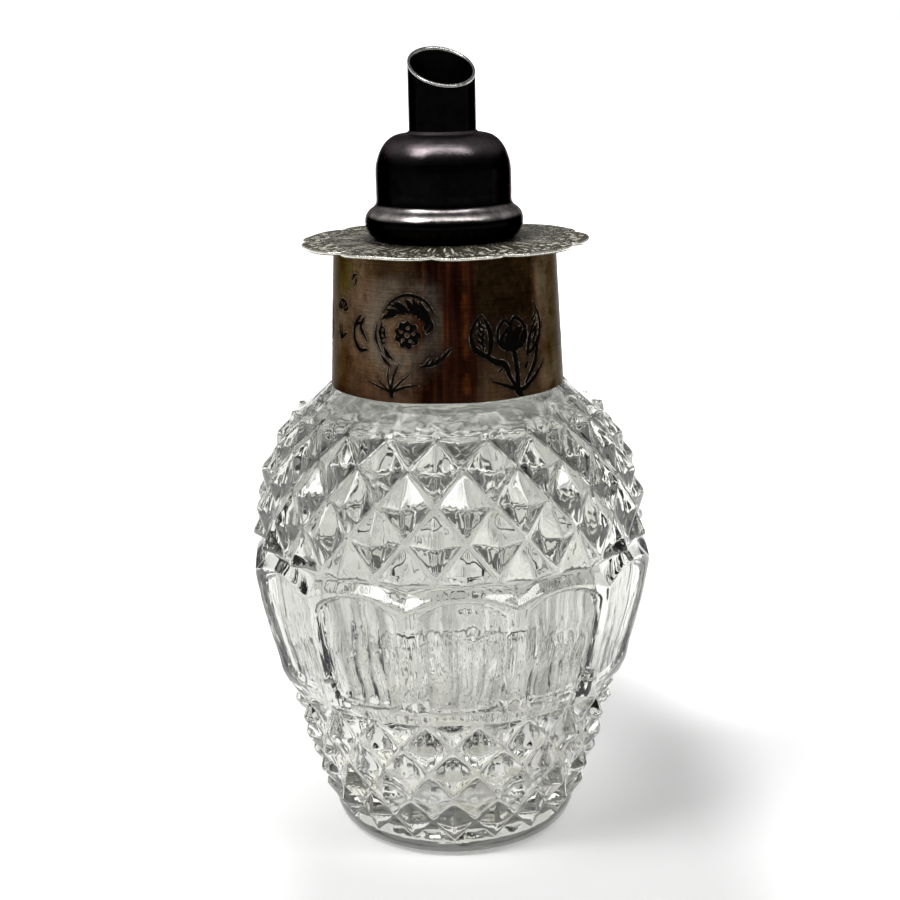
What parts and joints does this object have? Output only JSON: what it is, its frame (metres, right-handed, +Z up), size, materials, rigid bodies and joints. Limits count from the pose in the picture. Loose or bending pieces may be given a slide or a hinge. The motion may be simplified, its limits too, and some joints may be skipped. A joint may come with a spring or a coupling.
{
  "type": "table oil cruet",
  "caption": "Pressed-glass table oil bottle with a metal collar, scalloped flange and lift-out cork stopper carrying a slanted spout tube.",
  "frame": {"origin": "middle of the ring that the bottle stands on, at the standing plane", "axes": "+Z up along the neck and spout; -Y is the front, where the engraved sprigs and the low lip of the spout face; +X is to the right seen from the front"},
  "size_m": [0.0772, 0.0772, 0.1522],
  "materials": {
    "clear_glass": "fire-polished pressed glass",
    "plaster": "dry plaster",
    "tarnished_silver": "engraved, brushed and tarnished",
    "engraved_silver": "stippled and engraved",
    "solder": "dull",
    "cork": "natural cork",
    "dark_metal": "dark, polished",
    "washer_brass": "worn"
  },
  "bodies": {
    "bottle": {"glass_bottle": "clear_glass", "neck_bedding": "plaster", "collar_sleeve": "tarnished_silver", "flange_plate": "engraved_silver", "flange_solder": "solder"},
    "stopper": {"cork_stopper": "cork"},
    "pourer": {"pourer_cap": "dark_metal", "cap_base": "dark_metal", "spout_tube": "dark_metal", "tube_solder": "dark_metal", "base_solder": "solder", "end_washer": "washer_brass"}
  },
  "joints": [
    {"name": "pourer_lift", "type": "slide", "parent": "bottle", "child": "stopper", "axis": [0, 0, 1], "range_m": [0, 0.045]},
    {"name": "pourer_turn", "type": "hinge", "parent": "stopper", "child": "pourer", "pos_m": [0, 0, 0.117], "axis": [0, 0, 1], "continuous": true}
  ]
}
